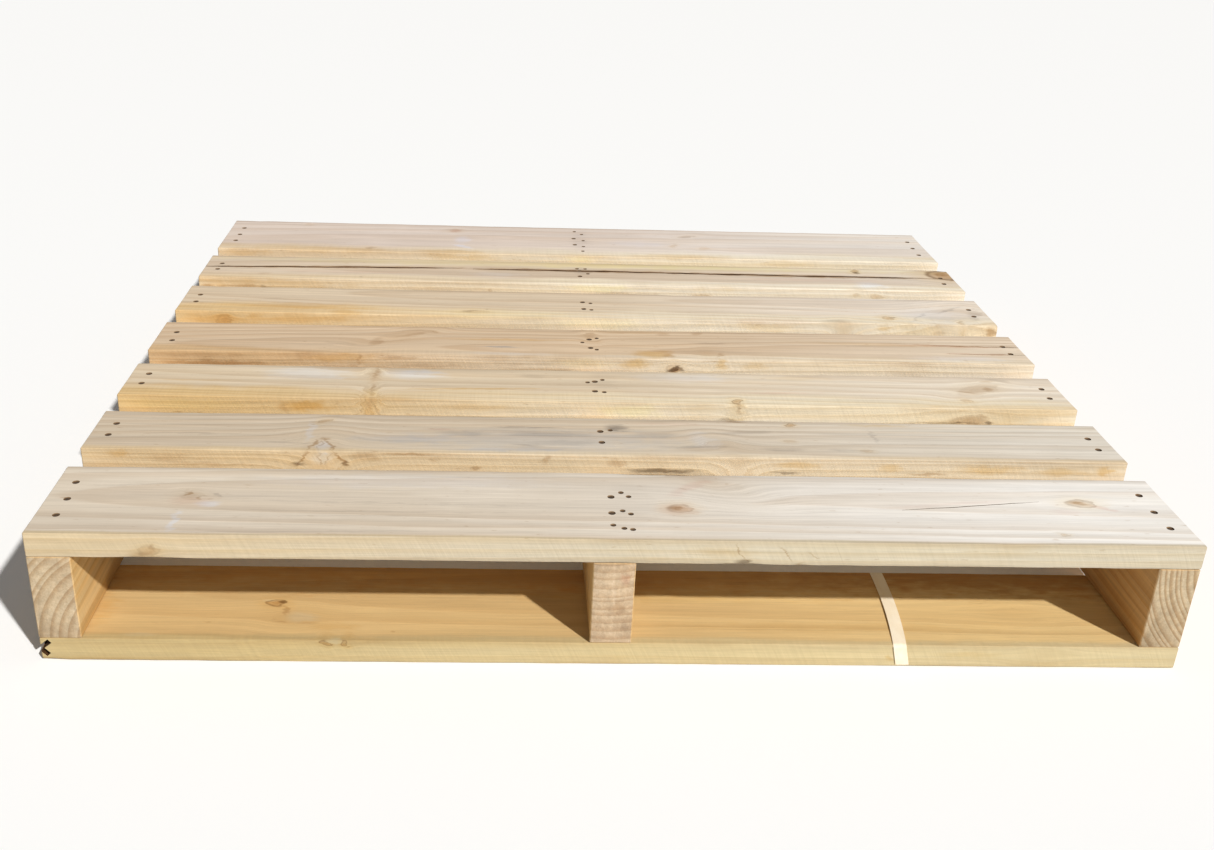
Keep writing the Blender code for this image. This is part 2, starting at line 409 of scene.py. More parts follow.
def shaded(nodes, colour, look, grain, sawn):
    """Specks, the light and dark of fibres, streaks and saw marks, and the edges, darkened partly as wear and
    partly as painted shade over the lit arris.
    """
    colour = nodes.tinted(colour, nodes.ramp(grain.speck, 0.66, 0.80, 0.0, look["specks"]), BROWN)
    fibres = nodes.ramp(grain.fibre, 0.25, 0.75, 0.93, 1.05)
    streaks = nodes.ramp(grain.streak, 0.3, 0.7, 1.0 - look["streak"], 1.0 + look["streak"] / 2)
    shade = nodes.times(nodes.times(fibres, streaks), nodes.scaled(sawn, 0.14, 1.0))
    colour = nodes.tinted(colour, 1.0, nodes.join(shade, shade, shade))
    edge = nodes.add("ShaderNodeAttribute", attribute_name="edge").outputs["Fac"]
    return nodes.tinted(colour, nodes.times(edge, nodes.ramp(grain.patch, 0.3, 0.65, 0.0, 0.6)), EDGE_WEAR_AND_SHADE)


def wood(name, look, half_length, half_width):
    """Sawn pine with its grain along local X. Its upper face is weathered paler and greyer."""
    made, nodes, shader = new_material(name)
    coordinates = nodes.add("ShaderNodeTexCoord").outputs
    local = coordinates["Object"]
    endward, _, upward = nodes.split(coordinates["Normal"])
    torn, wobble = torn_place(nodes, local)
    bent, distances = bend_round_knots(nodes, local, torn, look["knots"])
    grain = Grain(nodes, look, local, bent)

    top = weathered_part(nodes, look, grain, upward, half_width)
    end = nodes.ramp(nodes.math("ABSOLUTE", endward), 0.6, 0.9)
    side_colour = side_tones(nodes, look, grain, half_length)
    colour = nodes.mix(top, side_colour, top_tones(nodes, look, grain, half_length))
    colour = nodes.mix(end, colour, end_tones(nodes, look, grain))
    colour = marked(nodes, colour, look["marks"], torn, wobble)
    colour = knotted(nodes, colour, distances, wobble)
    sawn = nodes.times(nodes.math("SUBTRACT", grain.saw, 0.5), nodes.scaled(top, SAW_ON_TOP - 1.0, 1.0))
    colour = shaded(nodes, colour, look, grain, sawn)

    height = nodes.scaled(grain.rings, 0.40, nodes.times(grain.fibre, 0.5))
    height = nodes.scaled(grain.streak, 0.7, nodes.scaled(sawn, 0.7, height))
    nodes.surface(shader, colour, nodes.ramp(grain.streak, 0.2, 0.8, 0.64, 0.84), height, 0.6, 0.0006)
    shader.inputs["Specular IOR Level"].default_value = 0.25
    return made


def torn_wood(name, deep, shallow):
    """The rough dark wood inside a dent, a split or a notch; in splits and notches the darkness is partly
    painted shade.
    """
    made, nodes, shader = new_material(name)
    local = nodes.add("ShaderNodeTexCoord").outputs["Object"]
    fibre = nodes.noise(local, TORN_FIBRES, 3.0, 0.7)
    colour = nodes.mix(nodes.ramp(fibre, 0.3, 0.7), deep, shallow)
    nodes.surface(shader, colour, nodes.ramp(fibre, 0.3, 0.7, 0.80, 0.95), fibre, 0.7, 0.0005)
    shader.inputs["Specular IOR Level"].default_value = 0.1
    return made


def steel(name):
    """A dull dark nail head with a little rust."""
    made, nodes, shader = new_material(name)
    local = nodes.add("ShaderNodeTexCoord").outputs["Object"]
    rust = nodes.noise(local, RUST, 3.0, 0.6)
    colour = nodes.mix(nodes.ramp(rust, 0.42, 0.66), tone(92, 80, 68), tone(112, 82, 58))
    nodes.surface(shader, colour, nodes.ramp(rust, 0.3, 0.7, 0.45, 0.8), rust, 0.4, 0.0002)
    shader.inputs["Metallic"].default_value = 0.45
    return made


def strapping(name):
    """Milky plastic strapping, embossed with a fine diamond pattern."""
    made, nodes, shader = new_material(name)
    local = nodes.add("ShaderNodeTexCoord").outputs["Object"]
    x, y, z = nodes.split(local)
    along = nodes.plus(y, z)
    waves = []
    for side in (1.0, -1.0):
        slanted = nodes.times(nodes.scaled(x, side, along), 2 * math.pi / STRAP_EMBOSS_PITCH)
        waves.append(nodes.math("SINE", slanted))
    pattern = nodes.times(*waves)
    cloud = nodes.noise(local, CLOUDS, 3.0, 0.6)
    colour = nodes.mix(nodes.ramp(cloud, 0.3, 0.7), tone(247, 237, 217), tone(239, 225, 199))
    colour = nodes.tinted(colour, nodes.ramp(pattern, -0.2, 0.8, 0.35, 0.0), (0.86, 0.80, 0.70))
    nodes.surface(shader, colour, 0.55, pattern, 0.5, 0.0001)
    shader.inputs["Specular IOR Level"].default_value = 0.2
    shader.inputs["Subsurface Weight"].default_value = 0.1
    shader.inputs["Subsurface Radius"].default_value = (0.002, 0.002, 0.0015)
    return made


# ---- Plank meshes


def wave(x, frequency, seed):
    """A smooth wander of -1 to 1 along a length, different for each seed."""
    return noise.noise(Vector((x * frequency, seed * 7.31, seed * 2.17)))


def section(half_y, half_z, radii, counts):
    """(y, z, edge) round a rounded rectangle, from its +Y side over the top. Edge is 1 on a corner."""
    arcs = []
    for (side_y, side_z, start), radius in zip(((1, 1, 0), (-1, 1, 90), (-1, -1, 180), (1, -1, 270)), radii):
        arc = []
        for step in range(CORNER_STEPS + 1):
            angle = math.radians(start + 90 * step / CORNER_STEPS)
            y = side_y * (half_y - radius) + radius * math.cos(angle)
            z = side_z * (half_z - radius) + radius * math.sin(angle)
            arc.append((y, z))
        arcs.append(arc)
    points = []
    for corner, arc in enumerate(arcs):
        points += [(y, z, 1.0) for y, z in arc]
        (from_y, from_z), (to_y, to_z) = arc[-1], arcs[(corner + 1) % 4][0]
        length = math.hypot(to_y - from_y, to_z - from_z)
        count = counts[corner % 2]
        for step in range(1, count + 1):
            share = step / (count + 1)
            near = min(share, 1 - share) * length
            edge = max(0.0, 1 - near / EDGE_FADE)
            points.append((from_y + (to_y - from_y) * share, from_z + (to_z - from_z) * share, edge))
    return points


def arris_radii(x, half_length, look):
    """The radius of each of the four long edges at one place, worn unevenly and chipped here and there."""
    seed = look["seed"]
    radii = []
    for corner, wear in enumerate(look["arris"]):
        slow = max(0.0, wave(x, WEAR_WAVES, seed + corner * 1.7))
        quick = max(0.0, wave(x, NICK_WAVES, seed + corner * 3.1))
        radii.append(ARRIS_RADIUS + wear * (0.35 + slow + 0.8 * quick))
    for corner, right, reach, size in look["wane"]:
        away = (x + half_length - right / 1000) * 1000 / reach
        radii[corner] += size / 1000 * max(0.0, 1 - away * away) * (1 + 0.6 * wave(x, WANE_WAVES, seed))
    return radii


def plank_mesh(name, size, look):
    """A sawn length along X: slightly bent and cupped, with worn edges and flat sawn ends."""
    length, width, height = size
    seed = look["seed"]
    counts = (max(2, round(width / ROUND_PITCH)), max(1, round(height / ROUND_PITCH)))
    inner = round(length / STATION_PITCH)
    first, last = -length / 2 + 3 * END_ROUND, length / 2 - 3 * END_ROUND
    stations = [-length / 2, -length / 2 + END_ROUND]
    stations += [first + (last - first) * step / inner for step in range(inner + 1)]
    stations += [length / 2 - END_ROUND, length / 2]
    bm = bmesh.new()
    edge_layer = bm.verts.layers.float.new("edge")
    rings = []
    for index, x in enumerate(stations):
        at_end = index in (0, len(stations) - 1)
        inset = END_ROUND if at_end else 0.0
        radii = arris_radii(x, length / 2, look)
        crook = look["bend"] * wave(x, CROOK_WAVES, seed + 11)
        bow = look["bend"] * BOW_SHARE * wave(x, BOW_WAVES, seed + 23)
        ring = []
        for y, z, edge in section(width / 2 - inset, height / 2 - inset, radii, counts):
            cup = look["cup"] * ((2 * y / width) ** 2 - 0.4)
            sawn_at = Vector((x * SAWN_ALONG, y * SAWN_ACROSS + seed, z * SAWN_ACROSS))
            rough = SAWN_ROUGHNESS * noise.noise(sawn_at)
            made = bm.verts.new((x, y + crook + rough, z + bow + cup + rough))
            made[edge_layer] = 1.0 if at_end else edge
            ring.append(made)
        rings.append(ring)
    skin_rings(bm, rings)
    return finished_mesh(name, bm)


def skin_rings(bm, rings, caps=True):
    """Joins each ring of points to the next, and closes both ends or joins the last ring to the first."""
    after_each = rings[1:] if caps else rings[1:] + rings[:1]
    for one, other in zip(rings, after_each):
        for step in range(len(one)):
            after = (step + 1) % len(one)
            bm.faces.new((one[step], one[after], other[after], other[step]))
    if caps:
        bm.faces.new(rings[0])
        bm.faces.new(rings[-1])


def finished_mesh(name, bm):
    bmesh.ops.recalc_face_normals(bm, faces=bm.faces)
    mesh = bpy.data.meshes.new(name)
    bm.to_mesh(mesh)
    bm.free()
    mesh.shade_smooth()
    mesh.set_sharp_from_angle(angle=SHARP_ANGLE)
    return mesh


def add_object(name, data, place=(0, 0, 0), turn=0.0):
    made = bpy.data.objects.new(name, data)
    bpy.context.scene.collection.objects.link(made)
    made.location = place
    made.rotation_euler = (0, 0, turn)
    return made


def lathe(bm, profile, x, y, z, facing):
    """Adds a closed turned solid: profile is (radius, height) from top to bottom."""
    rings = []
    for radius, height in profile:
        ring = []
        for step in range(HEAD_SIDES):
            angle = 2 * math.pi * step / HEAD_SIDES
            place = (x + radius * math.cos(angle), y + radius * math.sin(angle), z + facing * height)
            ring.append(bm.verts.new(place))
        rings.append(ring)
    skin_rings(bm, rings)


def dents(bm, spots, z, facing, scale):
    """Cutters for the crushed wood round sunk nail heads."""
    profile = (
        (DENT_RADIUS * DENT_FLARE * scale, DENT_ABOVE), (DENT_RADIUS * scale, 0.0),
        (DENT_FLOOR * scale, -DENT_DEPTH),
    )
    for x, y in spots:
        lathe(bm, profile, x, y, z, facing)


def split_cutter(bm, start, end, width, depth, z, seed):
    """A wedge-shaped cutter along a wandering split between two (x, y) points, closed at its ends."""
    rings = []
    (start_x, start_y), (end_x, end_y) = start, end
    steps = max(8, round((end_x - start_x) / SPLIT_PITCH))
    for step in range(steps + 1):
        share = step / steps
        x = start_x + (end_x - start_x) * share
        wander = sum(reach * wave(x, waves, seed) for reach, waves in SPLIT_WANDERS)
        y = start_y + (end_y - start_y) * share + wander
        closing = min(1.0, 8 * (1 - share), 0.2 + 8 * share) * (0.8 + 0.5 * wave(x, SPLIT_RAGS, seed))
        half = max(width * closing / 2, SPLIT_LEAST)
        profile = (
            (-half, SPLIT_ABOVE), (half, SPLIT_ABOVE), (half * 0.7, -depth * 0.5), (0.0, -depth),
            (-half * 0.7, -depth * 0.5),
        )
        rings.append([bm.verts.new((x, y + aside, z + up)) for aside, up in profile])
    skin_rings(bm, rings)


def notch_cutter(bm, low, start, end, thick):
    """One broken-out stroke in a board's front face, between two (right, up) points in millimetres."""
    along = (Vector(end) - Vector(start)) / 1000
    side = Vector((-along.y, along.x)).normalized() * thick / 2000
    rings = []
    middle = Vector(start) / 1000 + along / 2
    reach = along * NOTCH_REACH
    corners = (-reach - side, reach - side, reach + side, side - reach)
    for back, spread in ((-NOTCH_ABOVE, 1.15), (NOTCH_DEPTH / 2, 0.9), (NOTCH_DEPTH, 0.35)):
        ring = []
        for corner in corners:
            place = middle + corner * spread
            ring.append(bm.verts.new((low.x + place.x, low.y + back, low.z + place.y)))
        rings.append(ring)
    skin_rings(bm, rings)


def carve(target, bm, inside):
    """Cuts a bmesh's solids, in world space, out of a plank. The cut faces get the inside material."""
    if not bm.verts:
        bm.free()
        return
    mesh = finished_mesh("cutter", bm)
    mesh.materials.append(inside)
    cutter = add_object("cutter", mesh)
    bpy.context.view_layer.update()
    boolean = target.modifiers.new("carve", "BOOLEAN")
    boolean.operation = "DIFFERENCE"
    boolean.solver = "EXACT"
    boolean.material_mode = "TRANSFER"
    boolean.use_self = True
    boolean.object = cutter
    graph = bpy.context.evaluated_depsgraph_get()
    carved = bpy.data.meshes.new_from_object(target.evaluated_get(graph))
    target.modifiers.clear()
    target.data = carved
    bpy.data.objects.remove(cutter, do_unlink=True)


# ---- The boards' looks

# top and side are tones at the left and right ends; the right ones are paler, partly as painted light. pith
# and lean are the log's middle and its slope, across and up. strip is how wide the warm front edge of the top
# is. arris is the wear of the four long edges, from the rear upper one over the top and round. splits are
# (start, end, wide, deep), notches (start, end, thick) and wane, which is a chipped stretch of an edge,
# (edge, right, reach, size), all in millimetres.
BASE_LOOK = {
    "seed": 1.0,
    "ring": 0.0075,
    "pith": (0.03, -0.12),
    "lean": (0.01, 0.02),
    "wander": 0.012,
    "top": ((218, 203, 183), (232, 224, 212)),
    "top_rings": 0.45,
    "side": ((218, 194, 152), (228, 212, 184)),
    "side_rings": 0.45,
    "end": (204, 178, 140),
    "end_rings": 0.8,
    "fade_from": 0.45,
    "strip": 0.0,
    "mottle": 0.5,
    "mottle_tint": OCHRE,
    "specks": 0.5,
    "streak": 0.08,
    "knots": (),
    "marks": (),
    "splits": (),
    "notches": (),
    "wane": (),
    "arris": (0.0020, 0.0008, 0.0009, 0.0012),
    "bend": 0.0010,
    "cup": 0.0004,
}

# How deep the marks and knots reach, in millimetres
KNOT_DEEP = 200
FACE_KNOT_DEEP = 8
MARK_DEEP = 6


def pine(**changes):
    return BASE_LOOK | changes


def with_turn(rows):
    """The rows of six, with a turn of 0 where a row leaves it out."""
    return [row if len(row) == 6 else (*row, 0) for row in rows]


class Board:
    """Collects a board's knots and marks, placed in millimetres right of its left end, behind its front edge
    and below its top. Strengths are in percent and turns in degrees."""

    def __init__(self, node):
        low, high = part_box(node)
        self.half = (high - low) / 2
        self.all_knots = []
        self.all_marks = []

    def spot(self, right, back, down, radii, turn=(0, 0, 0)):
        """A place, radii and a turn in the board's own coordinates."""
        place = (right / 1000 - self.half.x, back / 1000 - self.half.y, self.half.z - down / 1000)
        return place, tuple(radius / 1000 for radius in radii), tuple(map(math.radians, turn))

    def knots(self, *rows):
        """Adds knots that run down from the top: (right, back, long, wide, strength, turn)."""
        for right, back, long, wide, strength, turn in with_turn(rows):
            spot = self.spot(right, back, 0, (long, wide, KNOT_DEEP), (0, 0, turn))
            self.all_knots.append((*spot, strength / 100))

    def face_knots(self, *rows):
        """Adds knots on the front face: (right, down, long, high, strength)."""
        for right, down, long, high, strength in rows:
            self.all_knots.append((*self.spot(right, 0, down, (long, FACE_KNOT_DEEP, high)), strength / 100))

    def tops(self, tint, *rows):
        """Adds marks of one tint on the top: (right, back, long, wide, strength, turn)."""
        for right, back, long, wide, strength, turn in with_turn(rows):
            spot = self.spot(right, back, 0, (long, wide, MARK_DEEP), (0, 0, turn))
            self.all_marks.append((*spot, tint, strength / 100))

    def faces(self, tint, *rows):
        """Adds marks on the front face: (right, down, long, high, strength, turn)."""
        for right, down, long, high, strength, turn in with_turn(rows):
            spot = self.spot(right, 0, down, (long, MARK_DEEP, high), (0, turn, 0))
            self.all_marks.append((*spot, tint, strength / 100))

    def look(self, **changes):
        return pine(knots=self.all_knots, marks=self.all_marks, **changes)


def board_1_look():
    b = Board("top_board_1")
    b.knots((137, 75, 12, 8, 30), (607, 62, 12, 8, 60), (1010, 83, 14, 8, 65), (970, 20, 4, 3, 50),
        (640, 122, 34, 16, 22, -35))
    b.face_knots((112, 17, 9, 5, 45))
    b.tops(BROWN, (131, 79, 7, 4, 75, 60), (146, 71, 6, 3.5, 65, 60), (602, 63, 9, 5, 75),
        (1008, 84, 11, 6, 80))
    b.tops(ROSE, (138, 66, 26, 13, 50), (605, 60, 26, 15, 60), (620, 105, 34, 9, 55, 40),
        (1030, 73, 18, 4, 70, -25), (990, 66, 20, 8, 35), (880, 78, 90, 5, 35, 8))
    b.tops(GREY, (158, 78, 7, 3, 50, -40), (60, 95, 40, 2, 35, 5), (320, 65, 230, 2.2, 32, -1),
        (300, 48, 240, 2.0, 25), (260, 38, 200, 1.8, 20, 1), (250, 8, 160, 2.2, 25, 2), (560, 60, 30, 60, 12))
    b.tops(PALE, (155, 60, 16, 8, 80), (130, 25, 5, 26, 70), (330, 110, 180, 20, 35))
    b.faces(BROWN, (104, 20, 14, 4, 40), (115, 13, 4, 4, 40), (658, 12, 13, 1.1, 60, 65),
        (702, 13, 16, 1.1, 60, 48), (726, 15, 9, 1, 40, 48), (715, 23, 5, 2, 50))
    b.faces(DARK, (660, 22, 7, 4, 70))
    b.faces(OCHRE, (640, 12, 40, 9, 35))
    b.faces(GREY, (400, 23, 300, 2, 30))
    return b.look(seed=1.0, ring=0.009, pith=(0.012, -0.105), lean=(0.006, 0.012), strip=0.004, mottle=0.25,
        top=((222, 208, 188), (249, 244, 236)), side=((200, 184, 156), (201, 192, 172)), fade_from=0.3,
        streak=0.07,
        splits=(((826, 64), (970, 85), 1.4, 5.0),),
        wane=((2, 108, 40, 1.6), (2, 660, 22, 2.6), (2, 715, 10, 1.5), (1, 400, 90, 0.8), (0, 600, 60, 2.2)),
    )


def board_2_look():
    b = Board("top_board_2")
    b.knots((241, 74, 7, 4, 55, 30), (680, 8, 26, 13, 12, -60), (246, 6, 20, 26, 15), (752, 82, 5, 4, 80),
        (822, 20, 6, 4, 40), (745, 42, 5, 4, 35))
    b.tops(BROWN, (237, 17, 20, 2.6, 75, 72), (251, 17, 20, 2.4, 70, 114), (243, 16, 16, 1.4, 50, 86),
        (248, 30, 9, 4, 50), (690, 88, 14, 3, 75))
    b.tops(PALE, (245, 12, 7, 16, 90), (228, 50, 5, 34, 60), (650, 40, 16, 30, 40, 20))
    b.tops(GREY, (100, 40, 70, 2.5, 45), (205, 20, 40, 3, 40, -4), (455, 66, 50, 2.5, 70, 1),
        (395, 48, 40, 8, 45, -3), (505, 30, 50, 9, 40, 4), (600, 52, 34, 7, 40), (700, 62, 40, 6, 45, 5),
        (735, 20, 34, 5, 50, -4), (558, 68, 16, 13, 100), (556, 66, 8, 7, 70), (480, 50, 60, 10, 35),
        (465, 22, 26, 4, 55, -6), (640, 24, 50, 3, 55, 3), (840, 56, 4, 22, 40), (800, 22, 40, 3, 45))
    b.tops(BLUE, (470, 35, 190, 34, 55), (330, 32, 70, 12, 50), (440, 10, 70, 6, 60, 2))
    b.tops(ROSE, (370, 58, 26, 3, 70), (620, 80, 60, 5, 40))
    b.tops(OCHRE, (850, 84, 46, 4, 50))
    # The thin marks 17 down, where board 1 hides the rest of the face, here and in the dark marks below, are
    # partly dirt and partly painted shade of the gap.
    b.faces(BROWN, (227, 9, 12, 2.4, 75, -60), (266, 9, 13, 2.6, 85, 49), (244, 10, 9, 1.4, 60, 70),
        (252, 9, 9, 1.2, 50, 110), (290, 6, 20, 6, 40), (335, 2, 30, 2, 55), (365, 7, 7, 4, 45),
        (480, 6, 5, 6, 50), (555, 9, 14, 6, 50), (90, 10, 26, 7, 30), (130, 17, 50, 3, 35),
        (405, 17, 8, 2.5, 60), (885, 17, 26, 2.5, 60))
    b.faces(PALE, (246, 9, 15, 9, 80))
    b.faces(DARK, (224, 15, 11, 3.5, 80), (270, 14, 5, 4, 60), (600, 17, 44, 3, 75), (735, 17, 20, 2.5, 60))
    b.faces(OCHRE, (40, 5, 18, 5, 50), (745, 8, 30, 5, 55), (845, 10, 18, 6, 55), (950, 10, 40, 7, 60),
        (1030, 12, 34, 6, 55), (1076, 10, 10, 8, 70))
    return b.look(seed=2.0, ring=0.0068, pith=(-0.035, -0.075), lean=(0.02, 0.006), strip=0.008, mottle=0.35,
        mottle_tint=BROWN, top=((215, 198, 174), (230, 221, 206)), side=((216, 195, 162), (224, 209, 184)),
        specks=0.45, streak=0.1,
        wane=((2, 600, 60, 4.0), (2, 735, 30, 3.0), (0, 110, 90, 1.2), (1, 240, 50, 1.6), (2, 890, 50, 2.5)),
    )


def board_3_look():
    b = Board("top_board_3")
    b.knots((282, 52, 5, 44, 22), (703, 8, 6, 7, 85), (1000, 56, 30, 12, 35, 30), (975, 24, 6, 5, 50))
    b.face_knots((976, 17, 24, 7, 45))
    b.tops(PALE, (205, 70, 70, 22, 90), (330, 72, 46, 18, 100), (650, 75, 80, 16, 60))
    b.tops(BLUE, (330, 80, 40, 10, 35))
    b.tops(BROWN, (283, 75, 3, 20, 50, -8), (283, 30, 3, 14, 45, 10), (985, 48, 16, 4, 50, -10),
        (1012, 58, 5, 9, 55, -25), (1018, 80, 10, 4, 40))
    b.tops(OCHRE, (390, 33, 110, 3, 60, 3), (80, 46, 70, 3, 30), (790, 80, 60, 8, 25))
    b.tops(GREY, (470, 72, 26, 7, 35), (1034, 84, 20, 5, 45, -15), (550, 60, 24, 30, 18))
    b.tops(ROSE, (760, 36, 60, 4, 60, 2))
    b.faces(OCHRE, (210, 10, 38, 9, 85), (400, 8, 60, 6, 30))
    b.faces(BROWN, (186, 12, 9, 7, 30), (282, 6, 4, 10, 40), (976, 15, 30, 7, 50))
    b.faces(YELLOW, (60, 10, 90, 9, 50), (580, 10, 50, 9, 90))
    # The dark dashes low on the face, along board 2's rear edge, are partly dirt and partly painted shade of
    # the gap.
    b.faces(DARK, (997, 18, 5, 3, 60), (962, 18, 5, 2, 50), (690, 19, 14, 2.5, 45), (950, 19, 60, 2, 40))
    return b.look(seed=3.0, ring=0.0072, pith=(0.05, -0.09), lean=(-0.01, 0.008), strip=0.028, mottle=0.35,
        top=((228, 209, 180), (239, 227, 209)), side=((218, 188, 138), (238, 227, 205)), streak=0.09,
        wane=((2, 100, 120, 1.5), (2, 960, 70, 2.2), (0, 550, 80, 1.0)),
    )


def board_4_look():
    b = Board("top_board_4")
    b.knots((300, 62, 36, 12, 25, 30), (690, 22, 13, 10, 18), (545, 72, 8, 14, 30))
    b.face_knots((645, 13, 9, 5, 55))
    b.tops(BROWN, (272, 40, 9, 18, 35, -15), (320, 70, 30, 5, 35, 25), (640, 84, 12, 8, 30),
        (682, 88, 9, 6, 40), (640, 12, 12, 10, 40), (704, 16, 4, 14, 40, -20), (1040, 60, 60, 2.4, 75),
        (1050, 33, 50, 2.2, 60), (980, 64, 70, 2, 40, -3))
    b.tops(BLUE, (430, 31, 36, 4, 80, -2))
    b.tops(GREY, (430, 31, 30, 2.5, 50, -2), (200, 30, 60, 3, 35, 2), (700, 56, 34, 4, 55))
    b.tops(OCHRE, (440, 56, 130, 4, 50, 1), (600, 90, 60, 6, 25), (900, 62, 140, 8, 30, -2),
        (620, 16, 34, 16, 80))
    b.tops(ROSE, (1000, 60, 90, 5, 75, -2), (1040, 34, 60, 3, 80))
    b.tops(PALE, (1010, 16, 80, 10, 60), (440, 8, 60, 8, 50))
    b.faces(BROWN, (85, 16, 80, 5, 75), (60, 5, 70, 5, 30), (256, 8, 4, 10, 40), (300, 5, 26, 4, 50),
        (260, 18, 70, 3, 45), (340, 15, 60, 4, 35), (480, 17, 50, 3, 35), (645, 16, 8, 5, 80))
    b.faces(OCHRE, (230, 6, 60, 8, 65), (600, 8, 28, 8, 75), (703, 6, 8, 9, 60), (745, 9, 20, 6, 40))
    b.faces(DARK, (643, 14, 11, 2.6, 90, -30), (652, 14, 8, 2.4, 60, 35))
    b.faces(YELLOW, (530, 8, 50, 8, 50))
    return b.look(seed=4.0, ring=0.0062, pith=(-0.02, -0.065), lean=(0.014, 0.016), strip=0.016, mottle=0.35,
        mottle_tint=BROWN, top=((221, 196, 165), (236, 217, 192)), side=((211, 180, 141), (233, 221, 202)),
        streak=0.1, top_rings=0.55, fade_from=0.55,
        splits=(((985, 60), (1112, 59), 1.3, 5.0), ((1000, 33), (1112, 33), 1.0, 4.0)),
        wane=((2, 90, 90, 2.5), (1, 640, 30, 2.0), (0, 250, 80, 1.2)),
    )


def board_5_look():
    b = Board("top_board_5")
    b.knots((955, 22, 8, 7, 60), (1050, 34, 46, 30, 22, 40), (1052, 8, 4, 6, 60), (392, 20, 16, 5, 40),
        (890, 2, 12, 10, 25))
    b.face_knots((62, 13, 9, 8, 50))
    b.tops(OCHRE, (160, 26, 100, 16, 60), (222, 8, 26, 18, 50))
    b.tops(GREY, (130, 54, 40, 4, 40), (388, 20, 16, 4, 80, 8), (412, 27, 5, 4, 50), (960, 24, 7, 6, 60, 30),
        (1050, 60, 36, 4, 50, 35), (1000, 30, 34, 3, 45, 50), (1080, 40, 12, 26, 45, -20),
        (880, 6, 24, 8, 40))
    b.tops(YELLOW, (420, 12, 130, 22, 50))
    b.tops(BLUE, (1020, 40, 60, 30, 35))
    b.tops(PALE, (1030, 8, 60, 12, 50))
    b.tops(ROSE, (790, 6, 70, 14, 35))
    b.faces(OCHRE, (60, 10, 70, 9, 55), (170, 8, 90, 8, 45), (790, 8, 50, 8, 35), (945, 6, 12, 6, 50))
    b.faces(BROWN, (40, 21, 34, 3, 60), (1092, 10, 9, 12, 75), (1020, 12, 12, 4, 30))
    b.faces(YELLOW, (560, 8, 90, 8, 60))
    return b.look(seed=5.0, ring=0.0074, pith=(0.03, -0.08), lean=(-0.016, 0.01), strip=0.03, mottle=0.3,
        top=((225, 205, 177), (240, 229, 215)), side=((227, 197, 149), (240, 229, 208)), streak=0.09,
        wane=((1, 1096, 26, 4.0), (2, 60, 30, 3.0), (0, 700, 60, 1.6), (0, 60, 60, 2.0)),
    )


def board_6_look():
    b = Board("top_board_6")
    b.knots((1090, 74, 26, 22, 95), (958, 86, 8, 5, 75, 60))
    b.face_knots((942, 8, 6, 3, 40), (968, 11, 7, 3, 50))
    b.tops(YELLOW, (430, 86, 520, 20, 100), (800, 86, 420, 18, 80))
    # The three long brown bands along the split, 55 to 60 back, are painted shade that widens the split's
    # dark line.
    b.tops(BROWN, (180, 55, 230, 7, 90, 2.3), (560, 60, 260, 7, 90), (880, 58, 240, 8, 90),
        (1085, 78, 16, 12, 55), (90, 20, 14, 5, 25), (60, 50, 60, 4, 25))
    b.tops(DARK, (958, 78, 5, 9, 70, 20))
    b.tops(ROSE, (200, 34, 130, 8, 35), (880, 40, 160, 9, 45))
    b.tops(PALE, (965, 20, 26, 22, 70), (420, 36, 50, 14, 40))
    b.tops(GREY, (230, 14, 5, 6, 50), (545, 60, 16, 22, 45))
    b.faces(OCHRE, (110, 9, 130, 9, 35))
    # The thin brown dashes 13 down at 600 and 715, where board 5 hides the rest of the face, are partly dirt
    # and partly painted shade of the gap.
    b.faces(BROWN, (60, 13, 40, 3, 55), (12, 14, 10, 6, 60), (350, 12, 120, 4, 25), (600, 13, 60, 2.5, 45),
        (715, 13, 20, 2.5, 55), (412, 12, 5, 5, 40))
    b.faces(DARK, (92, 13, 7, 4, 40))
    b.faces(YELLOW, (570, 6, 70, 6, 90))
    return b.look(seed=6.0, ring=0.0082, pith=(0.0, -0.1), lean=(0.008, 0.006), strip=0.022, mottle=0.3,
        top=((223, 204, 180), (233, 219, 201)), side=((231, 210, 176), (244, 234, 215)), streak=0.09,
        arris=(0.0016, 0.0016, 0.001, 0.0012),
        splits=(((-12, 47), (370, 62), 5.5, 17.0), ((386, 60), (1084, 58), 6.0, 17.0)),
        wane=((1, 0, 30, 5.0), (2, 0, 34, 6.0), (0, 1098, 30, 4.0), (2, 600, 120, 1.5)),
    )


def board_7_look():
    b = Board("top_board_7")
    b.knots((352, 118, 10, 8, 25), (226, 16, 7, 6, 35), (722, 112, 15, 6, 35, 25), (697, 60, 4, 8, 40),
        (742, 50, 6, 6, 35), (118, 134, 5, 5, 30))
    b.tops(ROSE, (352, 116, 12, 10, 80))
    b.tops(PALE, (365, 70, 16, 22, 60), (365, 36, 22, 6, 80, -35), (640, 70, 60, 20, 30))
    b.tops(GREY, (226, 16, 8, 6, 45), (722, 110, 16, 6, 45, 25), (550, 80, 20, 60, 25))
    b.tops(OCHRE, (350, 8, 70, 12, 55), (150, 6, 130, 14, 40), (700, 8, 90, 14, 40))
    b.faces(OCHRE, (360, 6, 70, 6, 50), (40, 6, 50, 7, 40), (860, 6, 60, 6, 30))
    b.faces(YELLOW, (545, 6, 30, 6, 80))
    return b.look(seed=7.0, ring=0.0095, pith=(-0.03, -0.14), lean=(0.004, 0.01), strip=0.03, mottle=0.3,
        top=((227, 211, 197), (241, 232, 221)), side=((225, 205, 176), (239, 229, 209)), streak=0.07,
        arris=(0.002, 0.0022, 0.0009, 0.0012))


BOTTOM = {
    "top": ((213, 181, 127), (222, 192, 136)), "side": ((185, 165, 121), (199, 184, 147)), "streak": 0.05,
    "strip": 0.010, "mottle": 0.2, "specks": 0.2, "top_rings": 0.35, "side_rings": 0.3,
}


